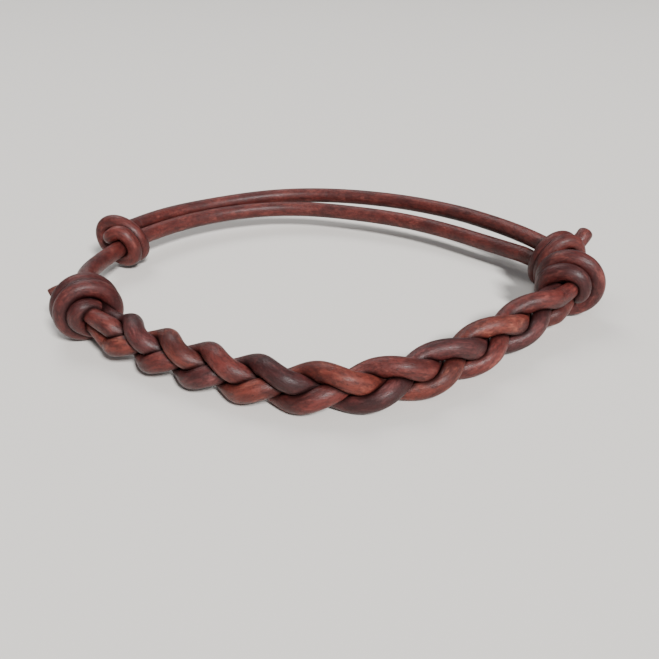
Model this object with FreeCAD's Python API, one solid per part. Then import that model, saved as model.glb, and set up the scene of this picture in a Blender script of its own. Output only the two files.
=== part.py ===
import FreeCAD, Part
import math
import os

Vector = FreeCAD.Vector
UP = Vector(0, 0, 1)

# An adjustable bracelet braided from round leather cord, closed by two sliding knots.
# Millimetres, +Z up. The origin is on the table, under the middle of the bracelet.
# The braid is at the front (-Y) and two plain back cords are at the rear (+Y).

# Driving dimensions
cord_diameter = 2.0          # the leather cord where it runs plain
strand_diameter = 1.5        # the same cord pulled tight in the braid
left_wrap_diameter = 1.7     # the same cord pulled tight round a knot
right_wrap_diameter = 1.9
left_slider_diameter = 1.5
right_slider_diameter = 1.6
fit_gap = 0.1                # between a knot's wraps and what they grip
turn_gap = 0.08              # between one turn of a knot and the next
corner_share = 0.45          # share of the shorter run that an arc takes up

# The braid
braid_half_width = 1.52      # sideways swing of a strand's middle line
braid_half_depth = 1.12      # its swing from front to back
braid_tilt = 17.0            # degrees that the braid's face looks upward
braid_crossings = 18
crossing_stretch = 0.24      # crossings are closer at the left end than at the right
knot_reach = 2.3             # length of strand inside an end knot, on each side of its middle
spread_length = 3.0          # from a knot's mouth to the first crossing
braid_step = 1.3             # spacing of the points along a strand
crossing_turn = 60           # degrees of a strand's swing from one crossing to the next
strand_phases = (270, 30, 150)
tangent_reach = 0.05         # half the length over which the line's direction is taken

# Middle line of the braid, from behind the left end knot to behind the right one
braid_route = [
    (-25.89, -8.7, 3.58), (-24.84, -10.6, 3.53), (-22.84, -13.1, 3.15), (-19.34, -15.7, 2.6),
    (-14.74, -18.6, 2.35), (-9.34, -21.6, 2.3), (-3.54, -24.0, 2.3), (2.46, -24.2, 2.3),
    (7.86, -21.9, 2.3), (13.06, -17.8, 2.32), (18.06, -13.1, 2.5), (22.46, -9.2, 2.95),
    (25.56, -6.5, 3.63), (26.51, -2.2, 3.82),
]

# An end knot grips three strands, set round a middle
end_bundle = 0.89            # from that middle to the middle of each strand
end_turns = 1.8
end_corners = 12             # corners in one turn, before they are rounded
end_first_angle = -150       # where the first turn begins
end_swell_angle = 30         # where the turns stand furthest out, over a strand
end_near_share = 0.75        # how deep the turns dip between two strands, of end_bundle
end_swell = 0.22             # how far they rise over each strand
left_trimmed_reach = 2.2     # straight behind the knot, before the trimmed end turns outward
left_trimmed_length = 1.9    # outward from there
left_trimmed_droop = 0.9
right_trimmed_reach = 0.35    # each half of the short end behind the right knot
right_trimmed_lean = 0.08

# A sliding knot is the end of one back cord. It lies beside the other cord, turns back at
# the knot's near end and winds round both of them.
slider_gap = 0.12            # between the gripped cord and the lead beside it
slider_play = 0.16           # between the turns and what they grip
slider_corners = 8           # corners in one turn, before they are rounded
slider_lead = 1.2            # length of the lead that runs along the gripped cord outside the turns
slider_reach = 1.8           # length of the lead beyond that, where it spreads from the gripped cord
slider_bight = 0.5           # how far the lead turns back beyond the first turn
slider_swell = 0.2           # how much wider the turns are, halfway between the two cords
slider_tail_lean = 0.3       # how far the tail leans out of the loop

# Each sliding knot travels along an arc of the back cords
left_arc_centre = Vector(-5.22, 0.48, 0)
left_arc_radius = 21.67
left_slider_angle = 159.0
left_slider_height = 2.96
left_slider_lean = 30.0      # degrees above level from the gripped cord to the lead
left_slider_spread = 10.0    # degrees from the gripped cord to the arriving one, inwards
left_first_angle = 90.0      # from the lead to the first corner of the turns
left_slider_turns = 14       # corners that the turns are laid on
left_slider_tail = 0.9       # length of the trimmed tail beyond the last turn
right_arc_centre = Vector(-7.22, -9.92, 0)
right_arc_radius = 35.72
right_slider_angle = 19.6
right_slider_height = 4.4
right_slider_lean = -115.0
right_slider_spread = 25.0
right_first_angle = 90.0
right_slider_turns = 17
right_slider_tail = 2.6

# The left back cord leaves the left end knot, passes the left slider and ends at the right one
left_back_route = [
    (-24.94, -8.05, 4.0), (-26.42, -5.32, 4.1), (-27.42, -1.42, 3.4), (-26.97, 3.58, 3.0),
    (-24.92, 10.18, 2.95), (-20.92, 15.78, 2.9), (-15.62, 19.98, 2.9), (-9.12, 22.48, 2.9),
    (-2.92, 22.68, 2.85), (3.48, 20.88, 2.8), (9.58, 18.18, 2.8), (14.98, 14.48, 2.7),
    (19.4, 10.2, 2.6), (23.36, 5.93, 2.66),
]
# The right back cord ends at the left slider, passes the right one and enters the right end knot
right_back_route = [
    (-25.09, 12.82, 3.9), (-22.82, 16.98, 3.8), (-16.52, 21.58, 3.8), (-9.32, 24.58, 4.0),
    (-2.72, 25.28, 4.1), (4.08, 23.98, 4.2), (10.78, 21.08, 4.3), (16.98, 16.48, 4.4),
    (20.98, 11.98, 4.4), (23.48, 8.48, 4.4), (25.38, 4.88, 4.4), (26.78, 1.36, 4.4),
    (27.7, -0.8, 4.6), (27.32, -2.27, 4.55),
]


def corner(before, point, after):
    """Start, middle and end of the arc that rounds a corner, and its radius."""
    run = min((point - before).Length, (after - point).Length)
    arriving = (point - before).normalize()
    leaving = (after - point).normalize()
    half_turn = arriving.getAngle(leaving) / 2
    reach = corner_share * run
    radius = reach / math.tan(half_turn)
    inward = (leaving - arriving).normalize()
    middle = point + inward * (radius / math.cos(half_turn) - radius)
    return point - arriving * reach, middle, point + leaving * reach, radius


def rounded_line(points):
    """Straight runs joined by tangent arcs, and the smallest arc radius."""
    edges = []
    radii = []
    here = points[0]
    for before, point, after in zip(points, points[1:], points[2:]):
        start, middle, end, radius = corner(before, point, after)
        edges.append(Part.LineSegment(here, start).toShape())
        edges.append(Part.Arc(start, middle, end).toShape())
        radii.append(radius)
        here = end
    edges.append(Part.LineSegment(here, points[-1]).toShape())
    return Part.Wire(edges), min(radii)


def save(name, points, diameter):
    """Write one cord as its own node and print what it measures."""
    path, radius = rounded_line(points)
    section = Part.Wire(Part.makeCircle(diameter / 2, points[0], points[1] - points[0]))
    solid = path.makePipeShell([section], True, False)
    expected = math.pi * diameter ** 2 / 4 * path.Length
    os.makedirs("parts", exist_ok=True)
    solid.exportStep("parts/" + name + ".step")
    print(name, "length", round(path.Length, 1), "smallest arc", round(radius, 2),
          "volume share", round(solid.Volume / expected, 4),
          "lowest", round(solid.BoundBox.ZMin, 3))


def route(points):
    return [Vector(*p) for p in points]


def braid_frame(line, along):
    """Place, face direction and width direction of the braid at a length along its line."""
    low = point_at(line, max(0.0, along - tangent_reach))
    high = point_at(line, min(line.Length, along + tangent_reach))
    tangent = (high - low).normalize()
    outward = tangent.cross(UP).normalize()
    width = outward.cross(tangent).normalize()
    tilt = math.radians(braid_tilt)
    face = outward * math.cos(tilt) + width * math.sin(tilt)
    return point_at(line, along), face, face.cross(tangent).normalize()


def point_at(line, along):
    """The point of a line at a length along it."""
    for edge in line.OrderedEdges:
        if along <= edge.Length:
            return edge.valueAt(edge.getParameterByLength(along))
        along -= edge.Length
    return line.OrderedVertexes[-1].Point


def smooth(share):
    """From 0 to 1 with a gentle start and finish."""
    share = min(1.0, max(0.0, share))
    return share * share * (3 - 2 * share)


def strand_points(line, first_phase):
    """A strand runs straight through each end knot and weaves between them."""
    held = 2 * knot_reach
    start = held + spread_length
    finish = line.Length - start
    steps = round((finish - start) / braid_step)
    braided = [start + (finish - start) * i / steps for i in range(steps + 1)]
    places = [0.0, held, *braided, line.Length - held, line.Length]
    points = []
    for along in places:
        share = min(1.0, max(0.0, (along - start) / (finish - start)))
        crossings = braid_crossings * share * (1 + crossing_stretch * (1 - share))
        phase = math.radians(first_phase + crossing_turn * crossings)
        spread = smooth(min(along - held, line.Length - held - along) / spread_length)
        half_width = end_bundle + (braid_half_width - end_bundle) * spread
        half_depth = end_bundle + (braid_half_depth - end_bundle) * spread
        place, face, width = braid_frame(line, along)
        sideways = half_width * math.sin(phase)
        forward = -half_depth * math.sin(2 * phase)
        points.append(place + width * sideways + face * forward)
    return points


def ring_point(middle, axis, side, ahead, radius, angle):
    """A point round an axis: its angle is measured from the side, upwards."""
    around = math.radians(angle)
    rise = axis.cross(side).normalize()
    if rise.z < 0:
        rise = -rise
    return middle + axis * ahead + (side * math.cos(around) + rise * math.sin(around)) * radius


def end_wrap_points(middle, axis, side, wrap):
    """Turns of cord laid round three strands, closer in between them than over them."""
    near = end_near_share * end_bundle + strand_diameter / 2 + wrap / 2 + 2 * fit_gap
    points = []
    for i in range(round(end_turns * end_corners) + 1):
        turn = i / end_corners
        angle = end_first_angle + 360 * turn
        swell = end_swell * math.cos(math.radians(3 * (angle - end_swell_angle)))
        radius = (near + swell) / math.cos(math.pi / end_corners)
        ahead = (turn - end_turns / 2) * (wrap + turn_gap)
        points.append(ring_point(middle, axis, side, ahead, radius, angle))
    return points


def slider_points(middle, axis, side, wrap, lean, spread, first_angle, corners, tail):
    """The lead lies beside the gripped cord, turns back and winds round them both."""
    tilt = math.radians(lean)
    rise = UP - axis * UP.dot(axis)
    toward = (side * math.cos(tilt) + rise * math.sin(tilt)).normalize()
    across = (rise * math.cos(tilt) - side * math.sin(tilt)).normalize()
    grip = cord_diameter / 2 + wrap / 2 + slider_gap
    behind = cord_diameter / 2 + wrap / 2 + slider_play
    beyond = grip + wrap + slider_play
    centre = middle + toward * (beyond - behind) / 2
    corner_scale = 1 / math.cos(math.pi / slider_corners)
    reach = (beyond + behind) / 2 * corner_scale
    flank = (behind + slider_swell) * corner_scale
    pitch = (wrap + turn_gap) / slider_corners
    start = -corners * pitch / 2
    bend = middle + toward * grip + axis * (slider_lead - start)
    apart = math.radians(spread)
    points = [bend + (axis * math.cos(apart) - side * math.sin(apart)) * slider_reach, bend,
              middle + toward * grip + axis * (start - slider_bight)]
    for i in range(corners + 1):
        angle = math.radians(first_angle + 360 * i / slider_corners)
        points.append(centre + axis * (start + pitch * i)
                      + toward * reach * math.cos(angle) + across * flank * math.sin(angle))
    away = (points[-1] - points[-2]).normalize()
    points.append(points[-1] + (away + side * slider_tail_lean).normalize() * tail)
    return points


def make_braid(line):
    for number, first_phase in enumerate(strand_phases, start=1):
        save(f"braid_strand_{number}", strand_points(line, first_phase), strand_diameter)


def make_end_wraps(line):
    for name, along, wrap in (("left_end_wrap", knot_reach, left_wrap_diameter),
                              ("right_end_wrap", line.Length - knot_reach, right_wrap_diameter)):
        middle, face, width = braid_frame(line, along)
        save(name, end_wrap_points(middle, width.cross(face), face, wrap), wrap)


def make_trimmed_ends(line):
    """One strand of each end knot is cut off behind it: long at the left, short at the right."""
    _, face, _ = braid_frame(line, 0.0)
    start, inside = strand_points(line, strand_phases[2])[:2]
    bend = start + (start - inside).normalize() * left_trimmed_reach
    tip = bend + face * left_trimmed_length - UP * left_trimmed_droop
    save("left_trimmed_end", [start, bend, tip], strand_diameter)
    _, face, _ = braid_frame(line, line.Length)
    inside, start = strand_points(line, strand_phases[1])[-2:]
    step = (start - inside).normalize() * right_trimmed_reach
    tip = start + step * 2 - face * right_trimmed_lean
    save("right_trimmed_end", [start, start + step, tip], strand_diameter)


def make_slider(name, wrap, centre, radius, angle, height, lean, spread, first_angle, corners,
                tail, sense):
    """The sense is 1 or -1: the way round the arc from the knot towards its arriving cord."""
    around = math.radians(angle)
    side = Vector(math.cos(around), math.sin(around), 0)
    axis = UP.cross(side) * sense
    middle = centre + side * radius + UP * height
    save(name, slider_points(middle, axis, side, wrap, lean, spread, first_angle, corners, tail), wrap)


def main():
    line, _ = rounded_line(route(braid_route))
    make_braid(line)
    make_end_wraps(line)
    make_trimmed_ends(line)
    make_slider("left_sliding_knot", left_slider_diameter, left_arc_centre, left_arc_radius,
                left_slider_angle, left_slider_height, left_slider_lean, left_slider_spread,
                left_first_angle, left_slider_turns, left_slider_tail, -1)
    make_slider("right_sliding_knot", right_slider_diameter, right_arc_centre, right_arc_radius,
                right_slider_angle, right_slider_height, right_slider_lean, right_slider_spread,
                right_first_angle, right_slider_turns, right_slider_tail, 1)
    save("left_back_cord", route(left_back_route), cord_diameter)
    save("right_back_cord", route(right_back_route), cord_diameter)


main()
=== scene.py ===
import bpy
import math
import numpy as np
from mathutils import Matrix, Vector


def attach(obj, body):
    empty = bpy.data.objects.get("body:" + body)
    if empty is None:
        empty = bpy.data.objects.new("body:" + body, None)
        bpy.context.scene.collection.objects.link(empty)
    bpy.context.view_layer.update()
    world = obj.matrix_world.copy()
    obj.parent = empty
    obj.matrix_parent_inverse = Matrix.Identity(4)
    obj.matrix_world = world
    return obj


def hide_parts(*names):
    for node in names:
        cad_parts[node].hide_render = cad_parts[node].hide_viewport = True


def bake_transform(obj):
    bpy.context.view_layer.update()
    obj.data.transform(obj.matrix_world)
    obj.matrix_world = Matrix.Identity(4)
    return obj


# An adjustable bracelet braided from round leather cord, closed by two sliding knots.
# Everything is in metres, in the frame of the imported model.

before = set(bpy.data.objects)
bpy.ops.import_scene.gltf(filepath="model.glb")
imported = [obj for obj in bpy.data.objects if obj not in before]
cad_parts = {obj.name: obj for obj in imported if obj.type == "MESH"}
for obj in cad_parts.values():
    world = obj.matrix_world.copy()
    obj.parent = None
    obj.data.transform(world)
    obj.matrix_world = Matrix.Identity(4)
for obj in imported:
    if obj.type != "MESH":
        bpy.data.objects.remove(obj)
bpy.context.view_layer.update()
MM = 0.001
UP = np.array([0.0, 0.0, 1.0])

# Middle line of the braid, from behind the left end knot to behind the right one
BRAID_ROUTE = [
    (-0.02589, -0.00870, 0.00358), (-0.02484, -0.01060, 0.00353), (-0.02284, -0.01310, 0.00315),
    (-0.01934, -0.01570, 0.00260), (-0.01474, -0.01860, 0.00235), (-0.00934, -0.02160, 0.00230),
    (-0.00354, -0.02400, 0.00230), (0.00246, -0.02420, 0.00230), (0.00786, -0.02190, 0.00230),
    (0.01306, -0.01780, 0.00232), (0.01806, -0.01310, 0.00250), (0.02246, -0.00920, 0.00295),
    (0.02556, -0.00650, 0.00363), (0.02651, -0.00220, 0.00382),
]
# The left back cord leaves the left end knot, passes the left slider and ends at the right one
LEFT_BACK_ROUTE = [
    (-0.02494, -0.00805, 0.00400), (-0.02642, -0.00532, 0.00410), (-0.02742, -0.00142, 0.00340),
    (-0.02697, 0.00358, 0.00300), (-0.02492, 0.01018, 0.00295), (-0.02092, 0.01578, 0.00290),
    (-0.01562, 0.01998, 0.00290), (-0.00912, 0.02248, 0.00290), (-0.00292, 0.02268, 0.00285),
    (0.00348, 0.02088, 0.00280), (0.00958, 0.01818, 0.00280), (0.01498, 0.01448, 0.00270),
    (0.01940, 0.01020, 0.00260), (0.02336, 0.00593, 0.00266),
]
# The right back cord ends at the left slider, passes the right one and enters the right end knot
RIGHT_BACK_ROUTE = [
    (-0.02509, 0.01282, 0.00390), (-0.02282, 0.01698, 0.00380), (-0.01652, 0.02158, 0.00380),
    (-0.00932, 0.02458, 0.00400), (-0.00272, 0.02528, 0.00410), (0.00408, 0.02398, 0.00420),
    (0.01078, 0.02108, 0.00430), (0.01698, 0.01648, 0.00440), (0.02098, 0.01198, 0.00440),
    (0.02348, 0.00848, 0.00440), (0.02538, 0.00488, 0.00440), (0.02678, 0.00136, 0.00440),
    (0.02770, -0.00080, 0.00460), (0.02732, -0.00227, 0.00455),
]
CORD_RADIUS = 1.0 * MM

# The braid's weave
STRAND_RADIUS = 1.0 * MM
HELD_RADIUS = 0.88 * MM       # a strand where an end knot grips it
HALF_WIDTH = 1.28 * MM        # sideways swing of a strand's middle line
FLATTEN = 0.08                # how much flatter than a sine wave that swing is
HALF_DEPTH = 0.92 * MM        # its swing from front to back
BRAID_TILT = 17.0             # degrees that the braid's face looks upward
CROSSINGS = 18
CROSSING_TURN = 60            # degrees of a strand's swing from one crossing to the next
CROSSING_STRETCH = 0.24       # crossings are closer at the left end than at the right
KNOT_REACH = 2.3 * MM         # half the length of braid that an end knot holds
SPREAD = 3.0 * MM             # length over which held strands open out into the braid
BUNDLE = 0.89 * MM            # how far a held strand is from the braid's line
STRAND_PHASES = (270, 30, 150)
TANGENT_REACH = 0.05 * MM     # how far each way the braid's direction is taken over

# An end knot's cord winds round the braid's line. Each point is an angle in degrees, from the
# outside of the bracelet upwards, a distance from the line and a distance along it in mm.
LEFT_WRAP = [
    (-230, 1.0, -1.9), (-190, 1.9, -2.0), (-150, 2.5, -1.7), (-110, 2.65, -1.55), (-70, 2.6, -1.4),
    (-30, 2.7, -1.2), (10, 2.7, -1.0), (50, 2.8, -0.8), (90, 2.8, -0.6), (130, 2.7, -0.4),
    (170, 2.7, -0.2), (210, 2.65, -0.05), (250, 2.7, 0.05), (290, 2.75, 0.15), (330, 2.8, 0.25),
    (370, 2.8, 0.4), (410, 2.8, 0.6), (450, 2.7, 0.9), (490, 2.6, 1.2), (530, 2.4, 1.5),
    (570, 2.1, 1.6), (610, 1.75, 1.5), (650, 1.5, 1.3), (690, 1.7, 1.5), (730, 1.85, 1.9),
    (770, 1.5, 2.1), (810, 0.8, 2.0),
]
RIGHT_WRAP = [
    (-90, 0.5, -1.5), (-50, 1.0, -2.3), (-5, 1.45, -2.6), (40, 2.0, -2.6), (85, 2.35, -2.45),
    (130, 2.65, -2.15), (175, 2.75, -1.75), (220, 2.75, -1.25), (265, 2.85, -0.85),
    (310, 2.95, -0.65), (350, 2.95, -0.55), (390, 2.95, -0.45), (430, 2.95, -0.35), (470, 2.9, -0.1),
    (510, 2.8, 0.2), (550, 2.7, 0.6), (590, 2.5, 1.1), (630, 1.9, 1.6), (670, 1.0, 1.9),
]
LEFT_WRAP_RADIUS = 0.94 * MM
RIGHT_WRAP_RADIUS = 1.0 * MM

# A sliding knot winds round the cord that it grips and its own lead beside it. It sits on the arc
# that the gripped cord follows there. Sense is the way that its lead points round that arc, wrap is
# the winding cord's half thickness as it is squeezed, step is the winding's pitch and lean turns the
# lead round the gripped cord.
LEFT_SLIDER = dict(centre=(-0.00522, 0.00048), arc_radius=0.02167, angle=158.0, height=0.00306,
                   sense=-1, wrap=0.84 * MM, step=1.66 * MM, lean=30)
RIGHT_SLIDER = dict(centre=(-0.00722, -0.00992), arc_radius=0.03572, angle=19.0, height=0.0043,
                    sense=1, wrap=0.86 * MM, step=1.15 * MM, lean=-115)
LEFT_SLIDER_RADIUS = 0.88 * MM
RIGHT_SLIDER_RADIUS = 0.9 * MM
RIGHT_TAIL = [(0.0288, 0.0024, 0.0055), (0.02965, 0.0035, 0.0062)]
CORNERS_PER_TURN = 8
WINDING_CORNERS = 14
CORNER_OUT = 1.06             # the smooth line cuts inside its corners, so they stand further out
FIRST_ANGLE = 90              # degrees from the lead to where the winding starts
SLIDER_GAP = 0.05 * MM
SLIDER_LEAD = 1.2 * MM        # of the lead that lies clear of the winding
SLIDER_BIGHT = 0.5 * MM       # how far the lead passes the winding before it turns back
SLIDER_SWELL = 0.1 * MM       # extra width of the winding across the lead
LEAD_TAPER = 3 * MM           # length over which a lead goes from the back cord's size to the knot's

# A trimmed end goes on from a strand. Each point is a distance straight ahead of the strand's end
# and an offset from there, all in mm.
TRIMMED_RADIUS = 0.8 * MM
LEFT_TRIMMED = [(2.2, (0, 0, 0)), (2.2, (-1.6, -0.9, -0.7))]
RIGHT_TRIMMED = [(0.4, (0, 0, 0)), (0.8, (0, 0, 0))]
TRIMMED_AIM = 8               # points of the strand that its direction is taken over

# Where cords press on each other
PRESS_GAP = 0.02 * MM
PRESS_HALVINGS = 9
THINNEST = 0.25               # of the radius, however hard a cord is pressed
SOFTENINGS = 2
CREASE_DEPTH = 0.55 * MM
NEXT_TURN = 4 * MM            # length along a cord from which it counts as its own neighbour

# A cut end's rounded rim, in shares of the cord's radius
RIM = 0.22
RIM_ANGLES = (30, 60, 90)
CUT_FACE = (1.05, 0.4)        # the ring inside the rim: how far ahead, in shares of RIM, and its size
RIM_STEP = 0.1                # mm of leather pattern from one of these rings to the next

# Mesh resolution
CURVE_STEPS = 40
SIDES = 28
STEP = 0.14 * MM
CHUNK = 4000                  # points measured at a time

# Each leather: its dye, its worn places, its deepest colour and where its pattern starts
LEATHERS = {
    "light_strand": ((0.142, 0.028, 0.019), (0.310, 0.092, 0.060), (0.056, 0.011, 0.009), 3.0),
    "dark_strand": ((0.076, 0.016, 0.015), (0.175, 0.054, 0.050), (0.032, 0.008, 0.008), 17.0),
    "mid_strand": ((0.112, 0.021, 0.017), (0.250, 0.071, 0.055), (0.046, 0.009, 0.008), 29.0),
    "plain_cord": ((0.104, 0.020, 0.016), (0.205, 0.055, 0.043), (0.050, 0.010, 0.009), 41.0),
    "knotted_cord": ((0.086, 0.017, 0.015), (0.210, 0.062, 0.050), (0.036, 0.008, 0.008), 53.0),
    "trimmed_cord": ((0.100, 0.024, 0.017), (0.245, 0.084, 0.055), (0.047, 0.012, 0.010), 67.0),
}
# Each pattern: its scale and detail, its scale along the cord, its start and its roughness
PATTERNS = {
    "blotches": (0.45, 3, 0.6, 0.0, 0.55),
    "scuffs": (1.3, 6, 0.45, 11.0, 0.7),
    "grain": (7.0, 6, 0.4, 23.0, 0.75),
    "pores": (5.5, 3, 0.8, 37.0, 0.55),
    "wrinkles": (2.2, 4, 0.25, 51.0, 0.65),
    "mottle": (2.8, 5, 0.55, 63.0, 0.7),
}
# Dark marks: the pattern, the values that it fades in between and how strong it is
DARK_MARKS = [("pores", 0.58, 0.70, 0.6), ("grain", 0.45, 0.75, 0.55), ("mottle", 0.46, 0.62, 0.5)]
WRINKLES = ("wrinkles", 0.55, 0.68, 0.35)
DARK_SHARE = 0.45             # of the deepest colour, in pores and wrinkles
GRIME_AND_SHADE_SHARE = 0.28            # of the deepest colour, for dark grime and painted shade in creases
PALE_SHARE = 1.5              # of the worn colour, on the highest grain
TAN_SHARE = 1.3               # of the worn colour, on a cut end
TAN_LIFT = 0.02
SPECULAR = 0.2
COAT = 0.15
COAT_ROUGHNESS = 0.26
GRAIN_IN_BUMP = 0.7
BUMP_STRENGTH = 0.75
BUMP_HEIGHTS = {"Normal": 0.14 * MM, "Coat Normal": 0.05 * MM}

# Camera and studio
CAMERA_PLACE = (-0.00014, -0.07870, 0.03657)
CAMERA_TILT = 62.4            # degrees up from looking straight down
LENS = 40.7
SENSOR = 36
NEAREST_SEEN = 1 * MM
KEY_LIGHT = dict(place=(0.75, -1.55, 1.45), size=0.5, power=104)
BACK_LIGHT = dict(place=(-0.6, 1.2, 1.6), size=1.2, power=20)
SKY_COLOUR = (0.93, 0.96, 1.0, 1)
SKY_STRENGTH = 0.32
FLOOR_HALF = 2.0
FLOOR_COLOUR = (0.68, 0.65, 0.61, 1)
FLOOR_ROUGHNESS = 0.75


# ---------------------------------------------------------------- lines

def unit(vectors):
    """Vectors of length one."""
    vectors = np.asarray(vectors, float)
    return vectors / np.linalg.norm(vectors, axis=-1, keepdims=True)


def smooth(share):
    """From 0 to 1 with a gentle start and finish."""
    share = np.clip(share, 0.0, 1.0)
    return share * share * (3 - 2 * share)


def spline_line(route):
    """The points of the smooth curve that has a route's points as its controls."""
    data = bpy.data.curves.new("route", "CURVE")
    data.dimensions = "3D"
    data.resolution_u = CURVE_STEPS
    spline = data.splines.new("NURBS")
    spline.points.add(len(route) - 1)
    for control, point in zip(spline.points, route):
        control.co = (*point, 1)
    spline.order_u = 3
    spline.use_endpoint_u = True
    holder = bpy.data.objects.new("route", data)
    mesh = bpy.data.meshes.new_from_object(holder)
    line = np.array([v.co for v in mesh.vertices])
    bpy.data.objects.remove(holder)
    bpy.data.meshes.remove(mesh)
    bpy.data.curves.remove(data)
    return line


def lengths_along(line):
    """How far along the line each of its points is."""
    steps = np.linalg.norm(np.diff(line, axis=0), axis=1)
    return np.concatenate([[0.0], np.cumsum(steps)])


def at_lengths(line, places):
    """The line's points at these lengths along it."""
    along = lengths_along(line)
    return np.stack([np.interp(places, along, line[:, k]) for k in range(3)], axis=1)


def even_line(line):
    """The same line with its points evenly spaced."""
    total = lengths_along(line)[-1]
    return at_lengths(line, np.linspace(0.0, total, max(4, round(total / STEP) + 1)))


def directions(line):
    """The line's direction at each of its points."""
    return unit(np.gradient(line, axis=0))


def carried(line, first):
    """A direction across the line that turns with it and never twists round it."""
    result = []
    across = np.asarray(first, float)
    for tangent in directions(line):
        across = unit(across - tangent * across.dot(tangent))
        result.append(across)
    return np.array(result)


# ---------------------------------------------------------------- cord shapes

class Cord:
    """A round cord as rings of points about a line, before it becomes a mesh.

    Before is the length of cord that its leather pattern has run through already, and an end is
    soft where it is cut, and not where another cord goes on from it.
    """

    def __init__(self, name, line, radius, first_across=UP, last_across=None,
                 before=0.0, soft_ends=(True, True)):
        self.name = name
        self.before = before
        self.soft_ends = soft_ends
        self.line = line
        self.radius = np.broadcast_to(np.asarray(radius, float), (len(line),)).copy()
        self.across = carried(line, first_across)
        if last_across is not None:
            self.across = carried(line[::-1], last_across)[::-1]
        self.other = np.cross(directions(line), self.across)
        self.angles = np.linspace(0, 2 * math.pi, SIDES, endpoint=False)
        self.crease = np.zeros((len(line), SIDES))
        self.reach = np.repeat(self.radius[:, None], SIDES, axis=1)

    def spokes(self):
        """Unit directions from the line to each ring point."""
        return (self.across[:, None, :] * np.cos(self.angles)[None, :, None]
                + self.other[:, None, :] * np.sin(self.angles)[None, :, None])

    def surface(self):
        """The ring points."""
        return self.line[:, None, :] + self.spokes() * self.reach[:, :, None]


def nearest(points, line):
    """Distance from each point to the line, and the number of the line's nearest point."""
    flat = points.reshape(-1, 3)
    best = np.empty(len(flat))
    which = np.empty(len(flat), int)
    for start in range(0, len(flat), CHUNK):
        chunk = flat[start:start + CHUNK]
        gap = np.linalg.norm(chunk[:, None, :] - line[None, :, :], axis=2)
        which[start:start + CHUNK] = gap.argmin(axis=1)
        best[start:start + CHUNK] = gap.min(axis=1)
    return best.reshape(points.shape[:-1]), which.reshape(points.shape[:-1])


def passes_into(cord, reach, others):
    """Which ring points at this reach are nearer to another cord's line than to their own, in radii."""
    points = cord.line[:, None, :] + cord.spokes() * reach[:, :, None]
    own = reach / cord.radius[:, None]
    bad = np.zeros(reach.shape, bool)
    for other in others:
        distance, which = nearest(points, other.line)
        bad |= (distance - PRESS_GAP) / other.radius[which] < own
    return bad


def soften(reach):
    """Softens the edges of a pressed shape."""
    for _ in range(SOFTENINGS):
        along = reach.copy()
        along[1:-1] = (reach[:-2] + 2 * reach[1:-1] + reach[2:]) / 4
        reach = (np.roll(along, 1, axis=1) + 2 * along + np.roll(along, -1, axis=1)) / 4
    return reach


def press(cord, others):
    """Flattens a cord where it meets others, so that they touch and hardly pass through."""
    high = cord.reach.copy()
    low = np.where(passes_into(cord, high, others), 0.0, high)
    for _ in range(PRESS_HALVINGS):
        middle = (low + high) / 2
        bad = passes_into(cord, middle, others)
        high = np.where(bad, middle, high)
        low = np.where(bad, low, middle)
    cord.reach = soften(np.maximum(low, THINNEST * cord.radius[:, None]))


def closeness(gap):
    """From 0 at a crease's depth away to 1 at contact."""
    return 1 - np.clip(gap / CREASE_DEPTH, 0, 1)


def mark_creases(cord, others):
    """Notes how close each surface point is to its neighbours, for grime and shade."""
    points = cord.surface()
    for other in others:
        distance, which = nearest(points, other.line)
        cord.crease = np.maximum(cord.crease, closeness(distance - other.radius[which]))


def mark_own_creases(cord):
    """The same between one turn of a cord and the next."""
    points = cord.surface()
    along = lengths_along(cord.line)
    for i in range(len(points)):
        away = np.abs(along - along[i]) > NEXT_TURN
        if away.any():
            gap = np.linalg.norm(points[i][:, None, :] - cord.line[away][None, :, :], axis=2)
            gap = (gap - cord.radius[away][None, :]).min(axis=1)
            cord.crease[i] = np.maximum(cord.crease[i], closeness(gap))


# ---------------------------------------------------------------- cord meshes

def rim_steps(radius):
    """How far ahead of a cut end each of its last rings is, and how large."""
    turns = np.radians(RIM_ANGLES)
    steps = [(RIM * math.sin(turn), 1 - RIM * (1 - math.cos(turn))) for turn in turns]
    steps.append((RIM * CUT_FACE[0], CUT_FACE[1]))
    return [(radius * ahead, size) for ahead, size in steps]


def close_end(cord, end):
    """The rings that round off an end, numbered 0 or -1, from the cord outwards, and its middle."""
    ring = cord.surface()[end]
    centre = cord.line[end]
    outward = directions(cord.line)[end] * (-1 if end == 0 else 1)
    steps = rim_steps(cord.radius[end] * cord.soft_ends[end])
    rings = [ring * size + centre * (1 - size) + outward * ahead for ahead, size in steps]
    return rings, centre + outward * steps[-1][0]


def tube_faces(count):
    """The faces between this many rings, and those that close both ends."""
    faces = []
    for i in range(count - 1):
        for j in range(SIDES):
            k = (j + 1) % SIDES
            faces.append((i * SIDES + j, i * SIDES + k, (i + 1) * SIDES + k, (i + 1) * SIDES + j))
    first, last = count * SIDES, count * SIDES + 1
    top = (count - 1) * SIDES
    for j in range(SIDES):
        k = (j + 1) % SIDES
        faces.append((first, k, j))
        faces.append((last, top + j, top + k))
    return faces


def pattern_places(cord, rings, order, extra):
    """Where each point is in the leather's pattern: along the cord and across it, in mm."""
    along = (cord.before + lengths_along(cord.line)[order]) / MM
    along = along + (np.arange(len(rings)) - extra - order) * RIM_STEP
    size = np.linalg.norm(rings - cord.line[order][:, None, :], axis=2) / MM
    place = np.zeros((len(rings) * SIDES + 2, 3))
    ringed = place[:-2].reshape(len(rings), SIDES, 3)
    ringed[:, :, 0] = along[:, None]
    ringed[:, :, 1] = np.cos(cord.angles)[None, :] * size
    ringed[:, :, 2] = np.sin(cord.angles)[None, :] * size
    place[-2] = (along[0], 0, 0)
    place[-1] = (along[-1], 0, 0)
    return place


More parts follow.
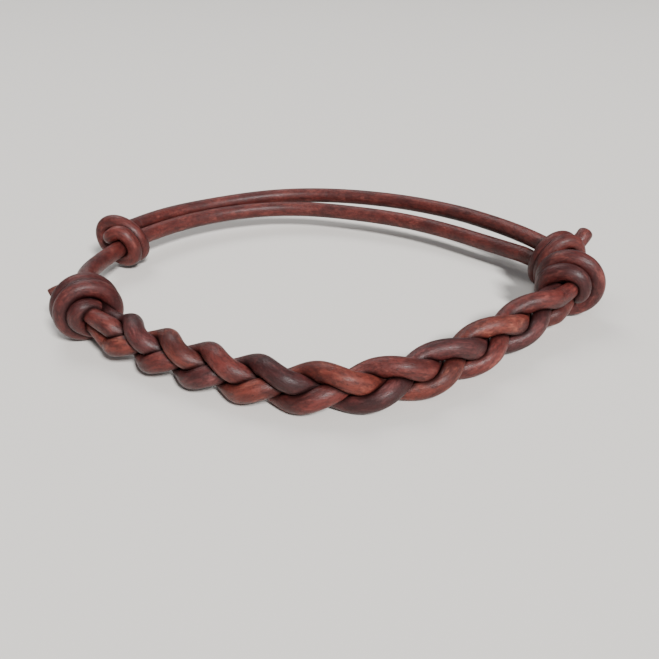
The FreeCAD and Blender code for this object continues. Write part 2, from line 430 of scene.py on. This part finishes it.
def cut_amounts(count, extra):
    """1 on the cut faces of a cord's ends and 0 elsewhere."""
    cut = np.zeros(count * SIDES + 2)
    ringed = cut[:-2].reshape(count, SIDES)
    ringed[:extra - 1] = 1
    ringed[-extra + 1:] = 1
    cut[-2:] = 1
    return cut


def make_mesh(cord, material):
    """The Blender object of a cord: its rings, cut ends and the places that its leather uses."""
    start_rings, start_middle = close_end(cord, 0)
    end_rings, end_middle = close_end(cord, -1)
    rings = np.concatenate([start_rings[::-1], cord.surface(), end_rings])
    extra = len(start_rings)
    order = np.clip(np.arange(len(rings)) - extra, 0, len(cord.line) - 1)
    points = [*rings.reshape(-1, 3), start_middle, end_middle]
    mesh = bpy.data.meshes.new(cord.name)
    mesh.from_pydata([tuple(p) for p in points], [], tube_faces(len(rings)))
    mesh.polygons.foreach_set("use_smooth", [True] * len(mesh.polygons))
    place = pattern_places(cord, rings, order, extra)
    crease = np.append(cord.crease[order].reshape(-1), (0, 0))
    cut = cut_amounts(len(rings), extra)
    mesh.attributes.new("cord_place", "FLOAT_VECTOR", "POINT").data.foreach_set("vector", place.ravel())
    mesh.attributes.new("crease", "FLOAT", "POINT").data.foreach_set("value", crease)
    mesh.attributes.new("cut_end", "FLOAT", "POINT").data.foreach_set("value", cut)
    mesh.materials.append(material)
    obj = bpy.data.objects.new(cord.name, mesh)
    bpy.context.scene.collection.objects.link(obj)
    return obj


# ---------------------------------------------------------------- leather

def scaled(colour, share, lift=0.0):
    """A colour made darker or paler."""
    return tuple(min(1, c * share + lift) for c in colour)


class LeatherNodes:
    """The node tree of one leather, whose pattern starts at seed."""

    def __init__(self, name, seed):
        self.material = bpy.data.materials.new(name)
        self.material.use_nodes = True
        self.tree = self.material.node_tree
        self.tree.nodes.clear()
        self.link = self.tree.links.new
        self.seed = seed
        self.shader = self.node("ShaderNodeBsdfPrincipled")
        out = self.node("ShaderNodeOutputMaterial")
        self.link(self.shader.outputs["BSDF"], out.inputs["Surface"])
        self.place = self.node("ShaderNodeAttribute", attribute_name="cord_place").outputs["Vector"]
        self.crease = self.node("ShaderNodeAttribute", attribute_name="crease").outputs["Fac"]
        self.cut = self.node("ShaderNodeAttribute", attribute_name="cut_end").outputs["Fac"]
        self.patterns = {pattern: self.noise(*values) for pattern, values in PATTERNS.items()}

    def node(self, kind, **values):
        """A new node with these properties."""
        made = self.tree.nodes.new(kind)
        for key, value in values.items():
            setattr(made, key, value)
        return made

    def noise(self, scale, detail, stretch, offset, roughness):
        """A noise pattern that runs along the cord."""
        mapping = self.node("ShaderNodeMapping")
        mapping.inputs["Location"].default_value = (self.seed + offset, offset * 1.7, self.seed * 0.3)
        mapping.inputs["Scale"].default_value = (stretch, 1, 1)
        self.link(self.place, mapping.inputs["Vector"])
        texture = self.node("ShaderNodeTexNoise")
        texture.inputs["Scale"].default_value = scale
        texture.inputs["Detail"].default_value = detail
        texture.inputs["Roughness"].default_value = roughness
        self.link(mapping.outputs["Vector"], texture.inputs["Vector"])
        return texture.outputs["Fac"]

    def ramp(self, source, low, high, to_low=0.0, to_high=1.0):
        """A value that goes smoothly from to_low to to_high as the source goes from low to high."""
        made = self.node("ShaderNodeMapRange", interpolation_type="SMOOTHSTEP")
        made.inputs["From Min"].default_value = low
        made.inputs["From Max"].default_value = high
        made.inputs["To Min"].default_value = to_low
        made.inputs["To Max"].default_value = to_high
        self.link(source, made.inputs["Value"])
        return made.outputs["Result"]

    def times(self, a, b):
        """The product of two values."""
        made = self.node("ShaderNodeMath", operation="MULTIPLY")
        self.link(a, made.inputs[0])
        self.link(b, made.inputs[1])
        return made.outputs[0]

    def mix(self, amount, a, b):
        """From colour a to colour b, each a socket or a fixed colour."""
        made = self.node("ShaderNodeMix", data_type="RGBA")
        self.link(amount, made.inputs["Factor"])
        for socket, value in ((made.inputs[6], a), (made.inputs[7], b)):
            if isinstance(value, tuple):
                socket.default_value = (*value, 1)
            else:
                self.link(value, socket)
        return made.outputs[2]

    def mark(self, colour, over, pattern, low, high, strength):
        """The colour with marks of another one where a pattern is strong."""
        return self.mix(self.ramp(self.patterns[pattern], low, high, 0, strength), colour, over)


def leather_colour(nodes, body, worn, deep):
    """Mottled dye, scuffed paler on proud places, dark grime and painted shade in creases, and tan on
    cut ends.
    """
    blotches, scuffs, grain = (nodes.patterns[p] for p in ("blotches", "scuffs", "grain"))
    dark = scaled(deep, DARK_SHARE)
    colour = nodes.mix(nodes.ramp(blotches, 0.35, 0.62), deep, body)
    worn_amount = nodes.times(nodes.ramp(scuffs, 0.5, 0.72), nodes.ramp(nodes.crease, 0.0, 0.5, 1, 0))
    patchy = nodes.times(worn_amount, nodes.ramp(blotches, 0.4, 0.7, 0.35, 1.0))
    colour = nodes.mix(patchy, colour, worn)
    for mark in DARK_MARKS:
        colour = nodes.mark(colour, dark, *mark)
    high_grain = nodes.times(nodes.ramp(grain, 0.45, 0.30, 0, 0.5), worn_amount)
    colour = nodes.mix(high_grain, colour, scaled(worn, PALE_SHARE))
    colour = nodes.mark(colour, dark, *WRINKLES)
    # Darker the closer the surface is to a neighbouring cord: partly dark grime, partly painted shade
    # between cords
    grime_and_shade = scaled(deep, GRIME_AND_SHADE_SHARE)
    colour = nodes.mix(nodes.ramp(nodes.crease, 0.25, 1.0, 0, 0.9), colour, grime_and_shade)
    return nodes.mix(nodes.ramp(nodes.cut, 0.3, 1.0, 0, 0.6), colour, scaled(worn, TAN_SHARE, TAN_LIFT))


def leather_finish(nodes):
    """A soft sheen over fine grain, duller where it is scuffed."""
    shader, scuffs = nodes.shader, nodes.patterns["scuffs"]
    shader.inputs["Specular IOR Level"].default_value = SPECULAR
    shader.inputs["Coat Weight"].default_value = COAT
    shader.inputs["Coat Roughness"].default_value = COAT_ROUGHNESS
    nodes.link(nodes.ramp(scuffs, 0.3, 0.75, 0.36, 0.60), shader.inputs["Roughness"])
    height = nodes.node("ShaderNodeMath", operation="MULTIPLY_ADD")
    nodes.link(nodes.patterns["grain"], height.inputs[0])
    height.inputs[1].default_value = GRAIN_IN_BUMP
    nodes.link(scuffs, height.inputs[2])
    for socket, distance in BUMP_HEIGHTS.items():
        bump = nodes.node("ShaderNodeBump")
        bump.inputs["Strength"].default_value = BUMP_STRENGTH
        bump.inputs["Distance"].default_value = distance
        nodes.link(height.outputs[0], bump.inputs["Height"])
        nodes.link(bump.outputs["Normal"], shader.inputs[socket])


def leather(name):
    """The material of one of the leathers."""
    body, worn, deep, seed = LEATHERS[name]
    nodes = LeatherNodes(name, seed)
    nodes.link(leather_colour(nodes, body, worn, deep), nodes.shader.inputs["Base Color"])
    leather_finish(nodes)
    return nodes.material


# ---------------------------------------------------------------- stage

def make_camera():
    """The camera, in front of the bracelet and a little above it."""
    data = bpy.data.cameras.new("camera")
    data.lens = LENS
    data.sensor_width = SENSOR
    data.clip_start = NEAREST_SEEN
    camera = bpy.data.objects.new("camera", data)
    camera.location = CAMERA_PLACE
    camera.rotation_euler = (math.radians(CAMERA_TILT), 0, 0)
    bpy.context.scene.collection.objects.link(camera)
    bpy.context.scene.camera = camera


def make_light(name, place, size, power):
    """A round studio light that faces the bracelet."""
    data = bpy.data.lights.new(name, "AREA")
    data.shape = "DISK"
    data.size = size
    data.energy = power
    light = bpy.data.objects.new(name, data)
    light.location = place
    light.rotation_mode = "QUATERNION"
    light.rotation_quaternion = Vector(place).to_track_quat("Z", "Y")
    bpy.context.scene.collection.objects.link(light)


def make_floor():
    """A plain pale floor."""
    material = bpy.data.materials.new("pale_floor")
    material.use_nodes = True
    shader = material.node_tree.nodes["Principled BSDF"]
    shader.inputs["Base Color"].default_value = FLOOR_COLOUR
    shader.inputs["Roughness"].default_value = FLOOR_ROUGHNESS
    half = FLOOR_HALF
    corners = [(-half, -half, 0), (half, -half, 0), (half, half, 0), (-half, half, 0)]
    mesh = bpy.data.meshes.new("floor")
    mesh.from_pydata(corners, [], [(0, 1, 2, 3)])
    mesh.materials.append(material)
    floor = bpy.data.objects.new("floor", mesh)
    bpy.context.scene.collection.objects.link(floor)


def make_stage():
    """Floor, sky and lights."""
    make_floor()
    world = bpy.data.worlds.new("studio")
    world.use_nodes = True
    background = world.node_tree.nodes["Background"]
    background.inputs["Color"].default_value = SKY_COLOUR
    background.inputs["Strength"].default_value = SKY_STRENGTH
    bpy.context.scene.world = world
    make_light("key", **KEY_LIGHT)
    make_light("back", **BACK_LIGHT)


# ---------------------------------------------------------------- braid and knots

def braid_frames(line, places):
    """Place, face direction and width direction of the braid at lengths along its line."""
    total = lengths_along(line)[-1]
    here = at_lengths(line, places)
    tangent = unit(at_lengths(line, np.minimum(places + TANGENT_REACH, total))
                   - at_lengths(line, np.maximum(places - TANGENT_REACH, 0)))
    outward = unit(np.cross(tangent, UP))
    width = unit(np.cross(outward, tangent))
    tilt = math.radians(BRAID_TILT)
    face = outward * math.cos(tilt) + width * math.sin(tilt)
    return here, face, unit(np.cross(face, tangent))


def strand_cord(number, line):
    """A strand runs straight through each end knot and weaves between them."""
    total = lengths_along(line)[-1]
    places = np.linspace(0, total, round(total / STEP))
    held = 2 * KNOT_REACH
    start = held + SPREAD
    share = np.clip((places - start) / (total - 2 * start), 0, 1)
    crossings = CROSSINGS * share * (1 + CROSSING_STRETCH * (1 - share))
    phase = np.radians(STRAND_PHASES[number] + CROSSING_TURN * crossings)
    spread = smooth(np.minimum(places - held, total - held - places) / SPREAD)
    half_width = BUNDLE + (HALF_WIDTH - BUNDLE) * spread
    half_depth = BUNDLE + (HALF_DEPTH - BUNDLE) * spread
    here, face, width = braid_frames(line, places)
    swing = np.sin(phase) - FLATTEN * np.sin(3 * phase) * spread
    middle = (here + width * (half_width * swing)[:, None]
              - face * (half_depth * np.sin(2 * phase))[:, None])
    radius = HELD_RADIUS + (STRAND_RADIUS - HELD_RADIUS) * spread
    middle = even_line(middle)
    radius = np.interp(np.linspace(0, 1, len(middle)), np.linspace(0, 1, len(radius)), radius)
    return Cord(f"strand_{number + 1}", middle, radius)


def wrap_cord(name, braid, along, turns, radius):
    """The cord of an end knot, wound round the braid's line at this length along it."""
    middle, face, width = (v[0] for v in braid_frames(braid, np.array([along])))
    axis = np.cross(width, face)
    rise = unit(np.cross(axis, face))
    rise = -rise if rise[2] < 0 else rise
    points = []
    for angle, out, ahead in turns:
        around = math.radians(angle)
        points.append(middle + axis * ahead * MM
                      + (face * math.cos(around) + rise * math.sin(around)) * out * MM)
    return Cord(name, even_line(spline_line(points)), radius)


def slider_route(centre, arc_radius, angle, height, sense, wrap, step, lean):
    """The lead lies beside the gripped cord, turns back and winds round them both."""
    around = math.radians(angle)
    side = np.array([math.cos(around), math.sin(around), 0.0])
    axis = np.cross(UP, side) * sense
    middle = np.array([*centre, height]) + side * arc_radius
    tilt = math.radians(lean)
    toward = side * math.cos(tilt) + UP * math.sin(tilt)
    across = UP * math.cos(tilt) - side * math.sin(tilt)
    grip = CORD_RADIUS + wrap + SLIDER_GAP
    beyond = grip + 2 * wrap + SLIDER_GAP
    middle_of_turns = middle + toward * (beyond - grip) / 2
    reach = (beyond + grip) / 2 * CORNER_OUT
    flank = (grip + SLIDER_SWELL) * CORNER_OUT
    pitch = step / CORNERS_PER_TURN
    start = -WINDING_CORNERS * pitch / 2
    lead = middle + toward * grip
    points = [lead + axis * (SLIDER_LEAD - start), lead + axis * (start - SLIDER_BIGHT)]
    for i in range(WINDING_CORNERS + 1):
        turn = math.radians(FIRST_ANGLE + 360 * i / CORNERS_PER_TURN)
        points.append(middle_of_turns + axis * (start + pitch * i)
                      + toward * reach * math.cos(turn) + across * flank * math.sin(turn))
    return points


def from_lead(line, radius):
    """The lead is as thick as the back cord that it continues."""
    along = lengths_along(line)
    return radius + (CORD_RADIUS - radius) * (1 - smooth(along / LEAD_TAPER))


def left_slider_cord(right_back):
    """The left sliding knot, which runs into the start of the right back cord."""
    from_cord = even_line(spline_line([tuple(right_back.line[0]), *slider_route(**LEFT_SLIDER)]))
    line = from_cord[::-1]
    return Cord("left_sliding_knot_leather", line, from_lead(from_cord, LEFT_SLIDER_RADIUS)[::-1],
                last_across=right_back.across[0], before=-lengths_along(line)[-1],
                soft_ends=(True, False))


def right_slider_cord(left_back):
    """The right sliding knot, which goes on from the end of the left back cord to its cut tail."""
    route = [tuple(left_back.line[-1]), *slider_route(**RIGHT_SLIDER), *RIGHT_TAIL]
    line = even_line(spline_line(route))
    return Cord("right_sliding_knot_leather", line, from_lead(line, RIGHT_SLIDER_RADIUS),
                first_across=left_back.across[-1], before=lengths_along(left_back.line)[-1],
                soft_ends=(False, True))


def trimmed_cord(name, strand_line, steps):
    """A cut end that goes on from the first point of a strand's line."""
    start = strand_line[0]
    ahead = unit(start - strand_line[TRIMMED_AIM])
    route = [start] + [start + ahead * far * MM + np.array(offset) * MM for far, offset in steps]
    return Cord(name, even_line(spline_line(route)), TRIMMED_RADIUS)


# ---------------------------------------------------------------- build

def make_piece(cord, material, cad_node):
    """A cord's object, in place of its plain solid."""
    piece = make_mesh(cord, material)
    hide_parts(cad_node)
    return piece


def make_back_cord(cord, cad_node, material):
    """A back cord's object, in place of its plain solid, with its placement baked into its mesh."""
    piece = make_piece(cord, material, cad_node)
    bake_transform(piece)


make_camera()
left_back = Cord("left_back_cord_leather", even_line(spline_line(LEFT_BACK_ROUTE)), CORD_RADIUS,
                 soft_ends=(True, False))
right_back = Cord("right_back_cord_leather", even_line(spline_line(RIGHT_BACK_ROUTE)), CORD_RADIUS,
                  soft_ends=(False, True))
left_slider = left_slider_cord(right_back)
right_slider = right_slider_cord(left_back)

braid_line = spline_line(BRAID_ROUTE)
braid_length = lengths_along(braid_line)[-1]
strands = [strand_cord(number, braid_line) for number in range(3)]
left_wrap = wrap_cord("left_end_wrap_leather", braid_line, KNOT_REACH, LEFT_WRAP, LEFT_WRAP_RADIUS)
right_wrap = wrap_cord("right_end_wrap_leather", braid_line, braid_length - KNOT_REACH, RIGHT_WRAP,
                       RIGHT_WRAP_RADIUS)
left_trimmed = trimmed_cord("left_trimmed_end_leather", strands[2].line, LEFT_TRIMMED)
right_trimmed = trimmed_cord("right_trimmed_end_leather", strands[1].line[::-1], RIGHT_TRIMMED)

for strand in strands:
    press(strand, [other for other in strands if other is not strand])
press(left_wrap, strands)
press(right_wrap, strands)
press(left_slider, [left_back])
press(right_slider, [right_back])

for strand in strands:
    mark_creases(strand, [other for other in strands if other is not strand])
    mark_creases(strand, [left_wrap, right_wrap])
mark_creases(left_wrap, strands)
mark_creases(right_wrap, [*strands, right_slider])
mark_creases(left_slider, [left_back])
mark_creases(right_slider, [right_back, right_wrap])
mark_creases(left_back, [left_slider, left_wrap, right_back])
mark_creases(right_back, [right_slider, right_wrap, left_back])
for cord in (left_wrap, right_wrap, left_slider):
    mark_own_creases(cord)

leathers = {name: leather(name) for name in LEATHERS}
make_back_cord(left_back, "left_back_cord",
               leathers["plain_cord"])
make_back_cord(right_back, "right_back_cord",
               leathers["plain_cord"])
pieces = [
    (strands[0], "light_strand", "strand_leather_light", "braid_strand_1", "bracelet"),
    (strands[1], "dark_strand", "strand_leather_dark", "braid_strand_2", "bracelet"),
    (strands[2], "mid_strand", "strand_leather_mid", "braid_strand_3", "bracelet"),
    (left_wrap, "knotted_cord", "knot_leather", "left_end_wrap", "bracelet"),
    (right_wrap, "knotted_cord", "knot_leather", "right_end_wrap", "bracelet"),
    (left_slider, "plain_cord", "knot_leather", "left_sliding_knot", "left_slider"),
    (right_slider, "plain_cord", "knot_leather", "right_sliding_knot", "right_slider"),
    (left_trimmed, "trimmed_cord", "trimmed_leather", "left_trimmed_end", "bracelet"),
    (right_trimmed, "trimmed_cord", "trimmed_leather", "right_trimmed_end", "bracelet"),
]
for cord, finish, slot, cad_node, body in pieces:
    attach(make_piece(cord, leathers[finish], cad_node), body)
make_stage()
